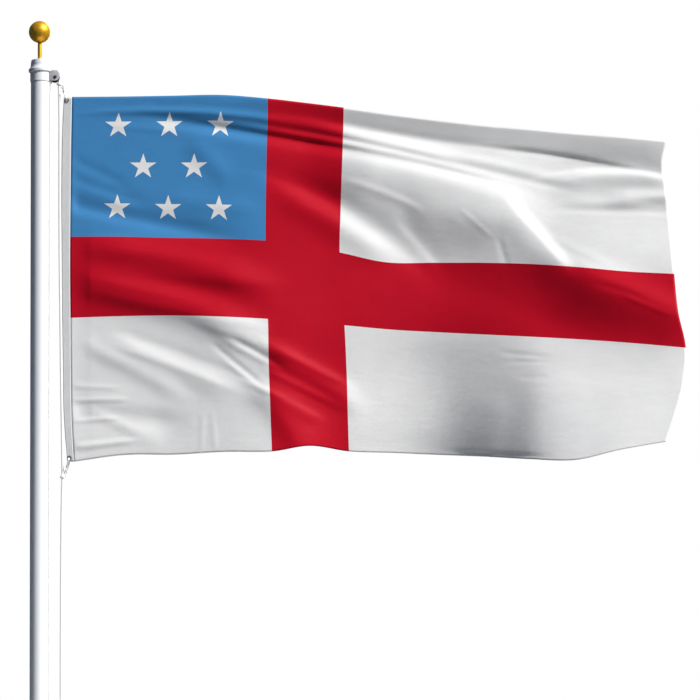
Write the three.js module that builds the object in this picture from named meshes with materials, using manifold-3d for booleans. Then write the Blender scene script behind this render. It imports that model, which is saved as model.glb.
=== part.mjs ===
// A church flag, 3 by 5 feet, flying from an aluminium flagpole.
// Units are millimetres. +Z is up and +X points from the pole to the flag's fly edge. The flag's face
// looks along -Y, and the origin is at the bottom of the pole, on its axis.

import * as THREE from 'three';
import { mergeVertices } from 'three/addons/utils/BufferGeometryUtils.js';
import Module from 'manifold-3d';

const wasm = await Module();
wasm.setup();

// Between pieces that touch
const GAP = 0.3;

// Pole, its foot and the truck on its top
const POLE = { radius: 22, bore: 20, height: 2880 };
const FOOT = { disc: 4, neck: 60 };
const TRUCK = { top: 2887, topRadius: 21.2, edge: 1.5, rimRadius: 27.6, rimTop: 2863.5, rimBottom: 2857,
  sleeveRadius: 23.6, bottom: 2832 };

// Gilt ball on its stem
const BALL = { radius: 27.4, centre: 2958.7 };
const STEM = { radius: 5.2, base: 6.8, baseHeight: 5 };

// Pulley beside the truck
const SHEAVE = { x: 37.8, z: 2843, radius: 12.4, groove: 6.8, halfWidth: 5, bore: 2.8 };
const PIN = { radius: 2.5, head: 4, headHeight: 1.2 };
const CHEEK = { start: 10, inner: 5.4, outer: 7.4, x: 36.6, z: 2847, radius: 13, top: 2860, bottom: 2834,
  bridge: 2857.4, end: 44 };

// Halyard and the hooks that hold the flag to it
const ROPE = { radius: 3, sides: 8, steps: 90 };
const HOOK = { wire: 2, bend: 6, insideHole: 0.3, loop: 21, yoke: 2.6, barrel: 3.4, eye: 30.9,
  eyeRadius: 4.4, eyeWire: 1.4 };
const KNOT = { radius: 6.2, half: 3, strap: 1.5, spread: 1.9 };
const GROMMET = { hole: 4, neck: 4.8, flange: 6.5, lip: 0.9, seat: 0.25 };

// Cleat on the pole, under the flag
const CLEAT = { z: 1200, back: 22.6, pad: 26.6, padHalf: 32, post: 40, postHalf: 11, face: 51.5, tip: 72,
  halfWidth: 5, bevel: 1 };
const SCREW = { shank: 2, head: 3.6, height: 2, offset: 25.5 };

// The flag hangs with the top of its hoist seam here
const HOIST = { x: 81, y: -4, z: 2793 };
// It is measured as seen from 12 degrees below, so what lies further back also stands higher
const VIEW_RISE = Math.tan(THREE.MathUtils.degToRad(12));
const HEADING = { width: 23, turn: 3, thick: 2.4, rows: 30, grommetUp: 8.5, grommetIn: 8.5 };
const CLOTH = { thick: 2, columns: 44, seamFade: 18 };

// How far down the cloth each of its rows lies: close together in the folds along the top edge
const ROW_STEPS = [[0.2, 12], [1, 20]];

// The printed cross crosses these shares of the fly and of the hoist
const CROSS_ALONG = [0, 0.315, 0.4416, 1];
const CROSS_DOWN = [0, 0.394, 0.605, 1];

// Where the cloth's level lines run: a row for each share of the fly, and in it how far below the
// hoist corner the top edge, the cross bar's top and bottom and the bottom edge come
const LEVEL_LINES = [
  { along: 0, top: -1, barTop: 353, barBottom: 558, bottom: 921 },
  { along: 0.08, top: -2, barTop: 353, barBottom: 554, bottom: 904 },
  { along: 0.16, top: -4, barTop: 356, barBottom: 552, bottom: 903 },
  { along: 0.24, top: -6, barTop: 358, barBottom: 555, bottom: 896 },
  { along: 0.315, top: 3, barTop: 363, barBottom: 561, bottom: 895 },
  { along: 0.378, top: 14, barTop: 376, barBottom: 569, bottom: 881 },
  { along: 0.4416, top: 26, barTop: 393, barBottom: 577, bottom: 895 },
  { along: 0.52, top: 42, barTop: 418, barBottom: 588, bottom: 899 },
  { along: 0.6, top: 57, barTop: 419, barBottom: 595, bottom: 904 },
  { along: 0.68, top: 70, barTop: 419, barBottom: 601, bottom: 908 },
  { along: 0.76, top: 80, barTop: 422, barBottom: 607, bottom: 914 },
  { along: 0.84, top: 91, barTop: 430, barBottom: 614, bottom: 916 },
  { along: 0.92, top: 100, barTop: 441, barBottom: 623, bottom: 890 },
  { along: 1, top: 111, barTop: 447, barBottom: 634, bottom: 870 },
];

// Where its upright lines run: a row for each share of the hoist, and in it how far from the hoist
// corner the heading's free edge, the seam, the cross bar's two sides and the fly edge come
const UPRIGHT_LINES = [
  { down: 0, edge: -21, seam: -1, barLeft: 483, barRight: 671, fly: 1469 },
  { down: 0.06, edge: -24, seam: -2, barLeft: 483, barRight: 670, fly: 1459 },
  { down: 0.13, edge: -26, seam: -3, barLeft: 481, barRight: 668, fly: 1465 },
  { down: 0.26, edge: -27, seam: -4, barLeft: 479, barRight: 664, fly: 1477 },
  { down: 0.394, edge: -26, seam: -5, barLeft: 478, barRight: 661, fly: 1487 },
  { down: 0.5, edge: -25, seam: -5, barLeft: 480, barRight: 667, fly: 1496 },
  { down: 0.605, edge: -24, seam: -4, barLeft: 484, barRight: 673, fly: 1515 },
  { down: 0.74, edge: -22, seam: -3, barLeft: 486, barRight: 678, fly: 1510 },
  { down: 0.87, edge: -20, seam: -1, barLeft: 490, barRight: 681, fly: 1491 },
  { down: 1, edge: -11, seam: 5, barLeft: 494, barRight: 684, fly: 1465 },
];

// The flag's broad billow: how far it stands out towards the front, a row for each share of the hoist
const BILLOW_ALONG = [0, 0.16, 0.315, 0.4416, 0.6, 0.76, 0.88, 1];
const BILLOW = [
  { down: 0, out: [0, 2, 5, 3, 5, 12, 20, 30] },
  { down: 0.2, out: [0, 3, 10, 10, 14, 22, 30, 40] },
  { down: 0.394, out: [0, 8, 20, 18, 16, 43, 70, 90] },
  { down: 0.605, out: [0, 14, 30, 18, 12, 51, 82, 100] },
  { down: 0.8, out: [0, 12, 26, 4, -4, 81, 117, 128] },
  { down: 1, out: [0, 10, 24, -6, -16, 99, 145, 156] },
];

// The main folds: each runs from one place to another, measured along and down from the hoist corner,
// with its middle hanging by sag under the straight line. It is a ridge of this height, or a trough
// where that is negative, this wide above and below its crest, and it widens by a factor to its end.
const FOLDS = [
  // from along, down, to along, down, sag, above, below, height, widen
  // The strip along the top edge leans out, with a trough under it
  [-30, 0, 1205, 71, -25, 30, 30, 5, 1.3],
  [390, -23, 1699, 119, 8, 35, 45, 12, 1],
  [563, 60, 1403, 185, 5, 18, 20, -4, 1.3],
  // Folds that fan out from the top hook
  [10, 41, 909, 147, -43, 10, 10, 3, 1.5],
  [680, 88, 1290, 228, 0, 10, 20, 3.5, 1.4],
  [143, 41, 909, 190, -11, 10, 16, -3.5, 1.5],
  // A pocket and short folds at the fly edge
  [1176, 225, 1526, 228, -30, 9, 26, 6, 1],
  [1304, 260, 1551, 255, -8, 14, 20, 6, 1],
  [1190, 266, 1440, 272, 0, 14, 12, 2, 1],
  // Slanting ridges and hollows in the upper fly panel and across the upright bar
  [563, 124, 1205, 316, -10, 55, 110, 27, 1],
  [1045, 237, 1245, 465, 0, 18, 60, 13, 1],
  [469, 180, 924, 480, -30, 35, 28, -6, 1],
  [469, 225, 810, 427, -10, 25, 35, 6, 1],
  [810, 270, 1100, 345, 0, 50, 60, 5, 1],
  // Along the level bar
  [-30, 376, 538, 500, -25, 33, 36, 13, 1.3],
  [-60, 446, 520, 618, -22, 30, 42, 15, 1.3],
  [740, 376, 1403, 626, 0, 90, 60, -6, 1],
  [1170, 418, 1601, 618, -20, 38, 110, 13, 1],
  // Lower hoist panel
  [57, 588, 440, 760, 8, 22, 30, 5, 1],
  [-5, 608, 316, 778, -5, 20, 20, 4, 1.2],
  [267, 548, 588, 674, 0, 22, 14, 3.5, 1.2],
  [-5, 790, 240, 890, -20, 35, 25, 3, 1],
  // Foot of the upright bar
  [440, 626, 736, 816, -20, 25, 25, 7, 1.2],
  [415, 702, 588, 967, -35, 55, 35, 9, 1],
  // The tall ridge of the lower fly panel, and shallow hollows across it
  [1175, 560, 1150, 1200, 0, 125, 75, 12, 1],
  [640, 660, 1620, 740, 0, 60, 120, -5, 1],
  [480, 905, 1300, 930, 0, 60, 40, -6, 1],
];
// A fold rises and fades over this share of its length
const FOLD_FADE = 0.3;

// Colours from the photograph
const FINISH = {
  aluminium: { color: 0xc9ced4, roughness: 0.35, metalness: 0.9 },
  white: { color: 0xe9ecef, roughness: 0.4, metalness: 0 },
  gilt: { color: 0xc8962a, roughness: 0.22, metalness: 1 },
  steel: { color: 0x9a9ea3, roughness: 0.35, metalness: 1 },
  black: { color: 0x17181a, roughness: 0.5, metalness: 0 },
  rope: { color: 0xf0efeb, roughness: 0.9, metalness: 0 },
  canvas: { color: 0xd9dadb, roughness: 0.9, metalness: 0 },
  cloth: { color: 0xf4f4f4, roughness: 0.75, metalness: 0 },
};

// The halyard: one rope, from its tail at the cleat up the pole, over the pulley and down to the cleat
const HALYARD = [
  // Hitch on the cleat's lower horn, from the tail
  [41.5, -10.2, 1068], [41, -10, 1095], [38, -9.8, 1120], [32, -4, 1131], [34, 5, 1133],
  [44, 10.2, 1135], [53.8, 7.8, 1138], [55, -2, 1141], [53.8, -8.4, 1144], [42, -10.5, 1148],
  [32, -3, 1154], [29, 5, 1161], [28, 10.5, 1176], [28, 10.8, 1225], [26.5, 5, 1260],
  // Up beside the pole
  [25.6, 0, 1330], [25.6, 0, 1700], [25.6, 0, 2150], [25.6, 0, 2550], [25.9, 0, 2790], [27.4, 0, 2826],
  // Over the pulley
  [27.5, 0, 2843], [28.9, 0, 2848.2], [32.6, 0, 2851.9], [37.8, 0, 2853.3], [43, 0, 2851.9],
  [46.7, 0, 2848.2], [48.1, 0, 2843],
  // Down beside the flag, drawn towards it by the hooks
  [47.8, 0, 2815], [49, 0, 2747], [49.3, 0, 2620], [49.5, 0, 2500], [50.6, 0, 2365], [52.4, 0, 2240],
  [54, 0, 2114], [55.8, 0, 2000], [57.6, 0, 1900], [58, 0, 1833], [56.4, 0, 1740], [55.6, 0, 1600], [55.2, 0, 1330],
  // Figure of eight on the cleat, and its tail
  [55.2, -1, 1264], [54.2, -8.6, 1248], [48, -10.4, 1234], [43, -10, 1218], [41, -10, 1200],
  [38, -9.8, 1184], [34.5, -3.5, 1174], [34.5, 4.5, 1172], [40, 10.8, 1178], [48, 10.6, 1186],
  [54.4, 7.6, 1195], [56, 0, 1204], [55.6, -8, 1211], [51, -14.5, 1218], [44, -16.5, 1226],
  [37, -13, 1233], [33, -5, 1238], [33, 4, 1239], [40, 11, 1232], [53, 9.4, 1219],
  [62.7, -1, 1203], [55, -13, 1188], [44, -14, 1174], [34, -5, 1163], [34, 4.5, 1162],
  [42, 11, 1161], [52, 13, 1152], [58, 10, 1138], [60, 8, 1110], [60, 8, 1078],
];

const group = new THREE.Group();
const up = new THREE.Vector3(0, 0, 1);

function add(name, geometry, finish) {
  const mesh = new THREE.Mesh(geometry, new THREE.MeshStandardMaterial(FINISH[finish]));
  mesh.name = name;
  group.add(mesh);
  return mesh;
}

// Joining and cutting

function toSolid(geometry) {
  const bare = geometry.clone();
  bare.deleteAttribute('normal');
  bare.deleteAttribute('uv');
  const merged = mergeVertices(bare, 1e-4);
  return new wasm.Manifold(new wasm.Mesh({
    numProp: 3,
    vertProperties: new Float32Array(merged.attributes.position.array),
    triVerts: new Uint32Array(merged.index.array),
  }));
}

function toGeometry(solid) {
  const mesh = solid.getMesh();
  const geometry = new THREE.BufferGeometry();
  geometry.setAttribute('position', new THREE.BufferAttribute(new Float32Array(mesh.vertProperties), 3));
  geometry.setIndex(new THREE.BufferAttribute(new Uint32Array(mesh.triVerts), 1));
  geometry.computeVertexNormals();
  return geometry;
}

function join(...geometries) {
  return toGeometry(geometries.map(toSolid).reduce((whole, next) => whole.add(next)));
}

function cut(geometry, ...tools) {
  return toGeometry(tools.map(toSolid).reduce((whole, next) => whole.subtract(next), toSolid(geometry)));
}

// Shapes

// A body turned about Z, from its outline as pairs of radius and height
function turned(outline, segments) {
  const points = outline.map(([radius, z]) => new THREE.Vector2(radius, z));
  return new THREE.LatheGeometry(points, segments).rotateX(Math.PI / 2);
}

// A rod between two points
function rod(from, to, radius, segments) {
  const way = to.clone().sub(from);
  const upright = new THREE.Vector3(0, 1, 0);
  const rotation = new THREE.Quaternion().setFromUnitVectors(upright, way.clone().normalize());
  const middle = from.clone().add(to).multiplyScalar(0.5);
  return new THREE.CylinderGeometry(radius, radius, way.length(), segments)
    .applyQuaternion(rotation)
    .translate(middle.x, middle.y, middle.z);
}

// A route that has the same number of steps between each pair of its points, so that close points
// give a smooth bend and far ones a plain straight run
class Route extends THREE.CatmullRomCurve3 {
  getPointAt(share, target) {
    return this.getPoint(share, target);
  }

  getTangentAt(share, target) {
    return this.getTangent(share, target);
  }
}

function tube(points, radius, sides, steps) {
  const circle = new THREE.Shape();
  circle.absarc(0, 0, radius, 0, 2 * Math.PI, false);
  return new THREE.ExtrudeGeometry(circle, {
    curveSegments: sides / 2,
    steps,
    extrudePath: new Route(points),
  });
}

// Cloth

// A smooth curve through the stations' values, read at one place
function between(stations, values, at) {
  const last = stations.length - 1;
  let i = 0;
  while (i < last - 1 && at >= stations[i + 1]) i += 1;
  const slope = (k) => {
    const before = Math.max(k - 1, 0);
    const after = Math.min(k + 1, last);
    return (values[after] - values[before]) / (stations[after] - stations[before]);
  };
  const step = stations[i + 1] - stations[i];
  const share = (at - stations[i]) / step;
  const square = share * share;
  const cube = square * share;
  return (2 * cube - 3 * square + 1) * values[i] + (cube - 2 * square + share) * slope(i) * step
    + (3 * square - 2 * cube) * values[i + 1] + (cube - square) * slope(i + 1) * step;
}

function straight(stations, values, at) {
  let i = 0;
  while (i < stations.length - 2 && at >= stations[i + 1]) i += 1;
  const share = (at - stations[i]) / (stations[i + 1] - stations[i]);
  return values[i] * (1 - share) + values[i + 1] * share;
}

function column(table, key) {
  return table.map((row) => row[key]);
}

function uprightLine(key, down) {
  return between(column(UPRIGHT_LINES, 'down'), column(UPRIGHT_LINES, key), down);
}

function levelLine(key, along) {
  return between(column(LEVEL_LINES, 'along'), column(LEVEL_LINES, key), along);
}

// Where a point of the flat cloth comes, as distances along and down from the hoist corner
function placeOf(along, down) {
  const uprights = ['seam', 'barLeft', 'barRight', 'fly'].map((key) => uprightLine(key, down));
  const levels = ['top', 'barTop', 'barBottom', 'bottom'].map((key) => levelLine(key, along));
  return [straight(CROSS_ALONG, uprights, along), straight(CROSS_DOWN, levels, down)];
}

function fade(share) {
  const near = THREE.MathUtils.clamp(Math.min(share, 1 - share) / FOLD_FADE, 0, 1);
  return near * near * (3 - 2 * near);
}

function foldHeight([x0, z0, x1, z1, sag, above, below, height, widen], x, z) {
  const long = Math.hypot(x1 - x0, z1 - z0);
  const [wayX, wayZ] = [(x1 - x0) / long, (z1 - z0) / long];
  const share = ((x - x0) * wayX + (z - z0) * wayZ) / long;
  const lean = 4 * sag * (1 - 2 * share) / long;
  const off = ((z - z0) * wayX - (x - x0) * wayZ - 4 * sag * share * (1 - share)) / Math.hypot(1, lean);
  const width = (off < 0 ? above : below) * (1 + (widen - 1) * THREE.MathUtils.clamp(share, 0, 1));
  return height * fade(share) * Math.exp(-((off / width) ** 2));
}

function standsOut(along, down, x, z) {
  const rows = BILLOW.map((row) => between(BILLOW_ALONG, row.out, along));
  const billow = between(column(BILLOW, 'down'), rows, down);
  const folds = FOLDS.reduce((sum, fold) => sum + foldHeight(fold, x, z), 0);
  return (billow + folds) * Math.min(1, (x - uprightLine('seam', down)) / CLOTH.seamFade);
}

function inPlace(x, z, out) {
  const y = HOIST.y - out;
  return new THREE.Vector3(HOIST.x + x, y, HOIST.z - z + y * VIEW_RISE);
}

// A closed sheet around rows of middle points, each pushed out by half the thickness both ways
function sheet(rows, pushes, thick) {
  const [high, wide] = [rows.length, rows[0].length];
  const positions = [];
  for (const sideways of [-0.5, 0.5]) {
    rows.forEach((row, j) => row.forEach((point, i) => {
      const moved = point.clone().addScaledVector(pushes[j][i], sideways * thick);
      positions.push(moved.x, moved.y, moved.z);
    }));
  }
  const front = (j, i) => j * wide + i;
  const back = (j, i) => high * wide + front(j, i);
  const index = [];
  const quad = (a, b, c, d) => index.push(a, b, c, a, c, d);
  for (let j = 0; j < high - 1; j += 1) {
    for (let i = 0; i < wide - 1; i += 1) {
      quad(front(j, i), front(j + 1, i), front(j + 1, i + 1), front(j, i + 1));
      quad(back(j, i), back(j, i + 1), back(j + 1, i + 1), back(j + 1, i));
    }
  }
  for (let i = 0; i < wide - 1; i += 1) {
    quad(front(0, i), front(0, i + 1), back(0, i + 1), back(0, i));
    quad(front(high - 1, i + 1), front(high - 1, i), back(high - 1, i), back(high - 1, i + 1));
  }
  for (let j = 0; j < high - 1; j += 1) {
    quad(front(j + 1, 0), front(j, 0), back(j, 0), back(j + 1, 0));
    quad(front(j, wide - 1), front(j + 1, wide - 1), back(j + 1, wide - 1), back(j, wide - 1));
  }
  const geometry = new THREE.BufferGeometry();
  geometry.setAttribute('position', new THREE.Float32BufferAttribute(positions, 3));
  geometry.setIndex(index);
  geometry.computeVertexNormals();
  return geometry;
}

// The cloth's normals, away from the front, but straight back along the seam
function normals(rows) {
  return rows.map((row, j) => row.map((_, i) => {
    if (i === 0) return new THREE.Vector3(0, 1, 0);
    const alongCloth = row[Math.min(i + 1, row.length - 1)].clone().sub(row[i - 1]);
    const upCloth = rows[Math.max(j - 1, 0)][i].clone().sub(rows[Math.min(j + 1, rows.length - 1)][i]);
    return upCloth.cross(alongCloth).normalize();
  }));
}

function clothRows() {
  const downs = [0];
  for (const [end, count] of ROW_STEPS) {
    const start = downs.at(-1);
    for (let k = 1; k <= count; k += 1) downs.push(start + (end - start) * k / count);
  }
  return downs.map((down) => Array.from({ length: CLOTH.columns + 1 }, (_, i) => {
    const along = i / CLOTH.columns;
    const [x, z] = placeOf(along, down);
    return inPlace(x + (i === 0 ? GAP : 0), z, standsOut(along, down, x, z));
  }));
}

// The heading lies turned a little away from the front, between its free edge and the seam
function headingPoint(share, down) {
  const [edge, seam] = [uprightLine('edge', down), uprightLine('seam', down)];
  const z = levelLine('top', 0) * (1 - down) + levelLine('bottom', 0) * down;
  return inPlace(edge + (seam - edge) * share, z, -HEADING.turn * (1 - share));
}

function headingNormal(down) {
  return up.clone().cross(headingPoint(1, down).sub(headingPoint(0, down)).setZ(0)).normalize();
}

function headingGeometry(holes) {
  const rows = [];
  const pushes = [];
  for (let j = 0; j <= HEADING.rows; j += 1) {
    const down = j / HEADING.rows;
    rows.push([0, 0.5, 1].map((share) => headingPoint(share, down)));
    pushes.push([headingNormal(down), headingNormal(down), new THREE.Vector3(0, 1, 0)]);
  }
  return cut(sheet(rows, pushes, HEADING.thick), ...holes);
}

// Grommets and hooks

function grommetPlace(down) {
  const share = HEADING.grommetIn / HEADING.width;
  return { centre: headingPoint(share, down), normal: headingNormal(down) };
}

function grommetGeometry({ centre, normal }) {
  const { hole, neck, flange, lip, seat } = GROMMET;
  const inner = HEADING.thick / 2 + GAP + seat;
  const outer = inner + lip;
  const ring = turned([[hole, -outer], [flange, -outer], [flange, -inner], [neck, -inner], [neck, inner],
    [flange, inner], [flange, outer], [hole, outer], [hole, -outer]], 20);
  return ring.applyQuaternion(new THREE.Quaternion().setFromUnitVectors(up, normal))
    .translate(centre.x, centre.y, centre.z);
}

// A snap hook's own directions: along it to the rope, and through the grommet
function hookPlacer({ centre, normal }, end) {
  const along = end.clone().sub(centre).normalize();
  const through = normal.clone().addScaledVector(along, -normal.dot(along)).normalize();
  return (far, side) => centre.clone().addScaledVector(along, far).addScaledVector(through, side);
}

// The hook's wire goes through the grommet and back to the barrel, which carries the eye
function hookGeometry(at) {
  const bendCentre = HOOK.insideHole + HOOK.bend;
  const points = [at(HOOK.loop + 2, -HOOK.bend), at(HOOK.loop - 6, -HOOK.bend)];
  for (let k = 0; k <= 6; k += 1) {
    const angle = Math.PI * k / 6;
    points.push(at(bendCentre - HOOK.bend * Math.sin(angle), -HOOK.bend * Math.cos(angle)));
  }
  points.push(at(HOOK.loop - 6, HOOK.bend), at(HOOK.loop + 2, HOOK.bend));
  const wire = tube(points, HOOK.wire, 8, 20);
  const yokeHalf = HOOK.bend + HOOK.wire;
  const yoke = rod(at(HOOK.loop + 1, -yokeHalf), at(HOOK.loop + 1, yokeHalf), HOOK.yoke, 8);
  const barrel = rod(at(HOOK.loop, 0), at(HOOK.eye - HOOK.eyeRadius, 0), HOOK.barrel, 10);
  return join(wire, yoke, barrel, eyeGeometry(at));
}

function eyeGeometry(at) {
  const along = at(1, 0).sub(at(0, 0));
  const through = at(0, 1).sub(at(0, 0));
  const basis = new THREE.Matrix4().makeBasis(along, through, along.clone().cross(through));
  return new THREE.TorusGeometry(HOOK.eyeRadius, HOOK.eyeWire, 8, 14)
    .applyMatrix4(basis.setPosition(at(HOOK.eye, 0)));
}

// A knot is a collar of turns around the halyard, with a strap that goes round the wire of the hook's eye
function knotGeometry(at, middle) {
  const { radius, half, strap, spread } = KNOT;
  const inner = ROPE.radius + GAP + 0.1;
  const collar = turned([[inner, -half], [radius - 1, -half], [radius, 1 - half], [radius, half - 1],
    [radius - 1, half], [inner, half], [inner, -half]], 16).translate(middle.x, middle.y, middle.z);
  const wire = at(HOOK.eye + HOOK.eyeRadius, 0);
  const through = at(0, 1).sub(at(0, 0));
  const way = wire.clone().sub(middle);
  way.addScaledVector(through, -way.dot(through)).normalize();
  const side = through.clone().cross(way).normalize();
  const round = HOOK.eyeWire + strap + GAP;
  const point = (from, ahead, aside) =>
    from.clone().addScaledVector(way, ahead).addScaledVector(side, aside);
  const root = middle.clone().setX(middle.x + radius - 0.4);
  const loop = tube([
    point(root, 0, spread),
    point(wire, -round, round * 0.85),
    point(wire, 0, round),
    point(wire, round * 0.7, round * 0.7),
    point(wire, round, 0),
    point(wire, round * 0.7, -round * 0.7),
    point(wire, 0, -round),
    point(wire, -round, -round * 0.85),
    point(root, 0, -spread),
  ], strap, 8, 16);
  return join(collar, loop);
}

// Pole and its fittings

function poleGeometry() {
  const bottom = FOOT.disc + GAP;
  const { radius, bore, height } = POLE;
  return turned([[bore, bottom], [radius, bottom], [radius, height], [bore, height], [bore, bottom]], 36);
}

function footGeometry() {
  const neck = POLE.bore - GAP;
  const top = FOOT.disc + FOOT.neck;
  return turned([[0, 0], [POLE.radius, 0], [POLE.radius, FOOT.disc], [neck, FOOT.disc], [neck, top],
    [0, top]], 36);
}

function truckGeometry() {
  const { top, topRadius, edge, rimRadius, rimTop, rimBottom, sleeveRadius, bottom } = TRUCK;
  const shoulder = top - edge;
  const flare = [];
  for (let k = 0; k <= 5; k += 1) {
    const angle = Math.PI / 2 * k / 5;
    const radius = rimRadius - (rimRadius - topRadius) * Math.cos(angle);
    flare.push([radius, shoulder - (shoulder - rimTop) * Math.sin(angle)]);
  }
  const inside = POLE.radius + GAP;
  const ceiling = POLE.height + GAP;
  return turned([[0, ceiling], [inside, ceiling], [inside, bottom], [sleeveRadius, bottom],
    [sleeveRadius, rimBottom - edge], [rimRadius, rimBottom], ...flare.reverse(), [topRadius - edge, top],
    [0, top]], 32);
}

function stemGeometry() {
  const bottom = TRUCK.top + GAP;
  const top = BALL.centre - BALL.radius - GAP;
  return turned([[0, bottom], [STEM.base, bottom], [STEM.base, bottom + STEM.baseHeight - 2],
    [STEM.radius, bottom + STEM.baseHeight], [STEM.radius, top], [0, top]], 20);
}

function ballGeometry() {
  return new THREE.SphereGeometry(BALL.radius, 24, 16).rotateX(Math.PI / 2).translate(0, 0, BALL.centre);
}

// Turned about the pulley's own axis, which runs from front to back
function aboutPulley(outline, segments) {
  return new THREE.LatheGeometry(outline.map(([radius, y]) => new THREE.Vector2(radius, y)), segments)
    .translate(SHEAVE.x, 0, SHEAVE.z);
}

function sheaveGeometry() {
  const { radius, groove, halfWidth, bore } = SHEAVE;
  // The groove's wall, as pairs of radius and distance from the middle
  const wall = [[radius, halfWidth], [radius, 3.9], [9, 3.3], [groove, 1.4]];
  const mirrored = wall.map(([across, y]) => [across, -y]);
  const outline = [[bore, -halfWidth], ...mirrored, ...wall.reverse(), [bore, halfWidth], [bore, -halfWidth]];
  return aboutPulley(outline, 28);
}

function pinGeometry() {
  const shank = CHEEK.outer + GAP;
  const end = shank + PIN.headHeight;
  return aboutPulley([[0, -end], [PIN.head, -end], [PIN.head, -shank], [PIN.radius, -shank],
    [PIN.radius, shank], [PIN.head, shank], [PIN.head, end], [0, end]], 16);
}

// Two cheeks and the bridge over the sheave, seated against the truck's sleeve
function bracketGeometry() {
  const { start, inner, outer, x, z, radius, top, bottom, bridge, end } = CHEEK;
  const plate = new THREE.Shape();
  plate.moveTo(start, bottom);
  plate.lineTo(x, bottom);
  plate.absarc(x, z, radius, -Math.PI / 2, Math.PI / 2, false);
  plate.lineTo(start, top);
  plate.closePath();
  const cheek = new THREE.ExtrudeGeometry(plate, {
    depth: outer - inner,
    bevelEnabled: false,
    curveSegments: 14,
  }).rotateX(Math.PI / 2);
  const cheeks = [cheek.clone().translate(0, -inner, 0), cheek.clone().translate(0, outer, 0)];
  const cover = new THREE.BoxGeometry(end - start, 2 * outer, top - bridge)
    .translate((start + end) / 2, 0, (top + bridge) / 2);
  // The truck leaves its own shape in the bracket: its sleeve, and its rim above
  const rimUnderside = TRUCK.rimBottom - TRUCK.edge - GAP;
  const sleeve = rod(new THREE.Vector3(0, 0, bottom - 1), new THREE.Vector3(0, 0, top + 1),
    TRUCK.sleeveRadius + GAP, 36);
  const rim = rod(new THREE.Vector3(0, 0, rimUnderside), new THREE.Vector3(0, 0, top + 1),
    TRUCK.rimRadius + GAP, 36);
  const bore = new THREE.CylinderGeometry(SHEAVE.bore, SHEAVE.bore, 4 * outer, 16)
    .translate(SHEAVE.x, 0, SHEAVE.z);
  return cut(join(...cheeks, cover), sleeve, rim, bore);
}

function cleatGeometry() {
  const { z, back, pad, padHalf, post, postHalf, face, tip, halfWidth, bevel } = CLEAT;
  const side = new THREE.Shape();
  side.moveTo(back, padHalf);
  side.lineTo(pad, padHalf);
  side.lineTo(pad, 19);
  side.quadraticCurveTo(32, 18, 33, postHalf);
  side.lineTo(post, postHalf);
  side.quadraticCurveTo(post + 1, 22, post + 3, tip - 15);
  side.quadraticCurveTo(face - 5, tip + 2, face - 1, tip - 6);
  side.quadraticCurveTo(face, 30, face, 0);
  side.quadraticCurveTo(face, -30, face - 1, 6 - tip);
  side.quadraticCurveTo(face - 5, -tip - 2, post + 3, 15 - tip);
  side.quadraticCurveTo(post + 1, -22, post, -postHalf);
  side.lineTo(33, -postHalf);
  side.quadraticCurveTo(32, -18, pad, -19);
  side.lineTo(pad, -padHalf);
  side.lineTo(back, -padHalf);
  side.closePath();
  const body = new THREE.ExtrudeGeometry(side, {
    depth: 2 * halfWidth,
    bevelEnabled: true,
    bevelThickness: bevel,
    bevelSize: bevel,
    bevelOffset: -bevel,
    bevelSegments: 1,
    curveSegments: 4,
  }).rotateX(Math.PI / 2).translate(0, halfWidth, z);
  const holes = [z - SCREW.offset, z + SCREW.offset].map((height) => {
    const [behind, before] = [back - 5, pad + 5].map((x) => new THREE.Vector3(x, 0, height));
    return rod(behind, before, SCREW.shank + GAP, 12);
  });
  return cut(body, ...holes);
}

function screwGeometry(offset) {
  const { shank, head, height } = SCREW;
  const seat = CLEAT.pad + GAP;
  const top = seat + height;
  const outline = [[0, CLEAT.back], [shank, CLEAT.back], [shank, seat], [head, seat], [head * 0.7, top], [0, top]];
  return turned(outline, 14).rotateY(Math.PI / 2).translate(0, 0, CLEAT.z + offset);
}

// The flagpole
add('pole_foot', footGeometry(), 'aluminium');
add('pole_tube', poleGeometry(), 'white');
add('truck_cap', truckGeometry(), 'white');
add('finial_stem', stemGeometry(), 'gilt');
add('finial_ball', ballGeometry(), 'gilt');
add('pulley_bracket', bracketGeometry(), 'steel');
add('pulley_sheave', sheaveGeometry(), 'black');
add('pulley_pin', pinGeometry(), 'steel');
add('cleat', cleatGeometry(), 'aluminium');
add('cleat_screw_top', screwGeometry(SCREW.offset), 'steel');
add('cleat_screw_bottom', screwGeometry(-SCREW.offset), 'steel');

// The halyard with its hooks
const route = HALYARD.map((point) => new THREE.Vector3(...point));
add('halyard', tube(route, ROPE.radius, ROPE.sides, ROPE.steps), 'rope');
const grommetDown = HEADING.grommetUp / (levelLine('bottom', 0) - levelLine('top', 0));
const hooks = [
  { name: 'top', down: grommetDown, knot: [47.8, 0, 2826.2], eye: [57.5, -1, 2817] },
  { name: 'lower', down: 1 - grommetDown, knot: [58, 0, 1833], eye: [68, -1, 1848.5] },
];
const holes = [];
for (const { name, down, knot, eye } of hooks) {
  const place = grommetPlace(down);
  const at = hookPlacer(place, new THREE.Vector3(...eye));
  const reach = place.normal.clone().multiplyScalar(10);
  holes.push(rod(place.centre.clone().sub(reach), place.centre.clone().add(reach), GROMMET.neck + GAP, 20));
  add(`${name}_grommet`, grommetGeometry(place), 'steel');
  add(`${name}_snap_hook`, hookGeometry(at), 'steel');
  add(`${name}_knot`, knotGeometry(at, new THREE.Vector3(...knot)), 'rope');
}

// The flag
const rows = clothRows();
add('heading', headingGeometry(holes), 'canvas');
add('flag_cloth', sheet(rows, normals(rows), CLOTH.thick), 'cloth');

export default group;
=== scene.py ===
# A church flag flying from a white flagpole, dressed over its CAD frame.
# Everything is in metres, but for the flag's tables of lines and folds, which are in millimetres, and
# that of its finer creases, which is in the photograph's pixels.

import math

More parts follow.
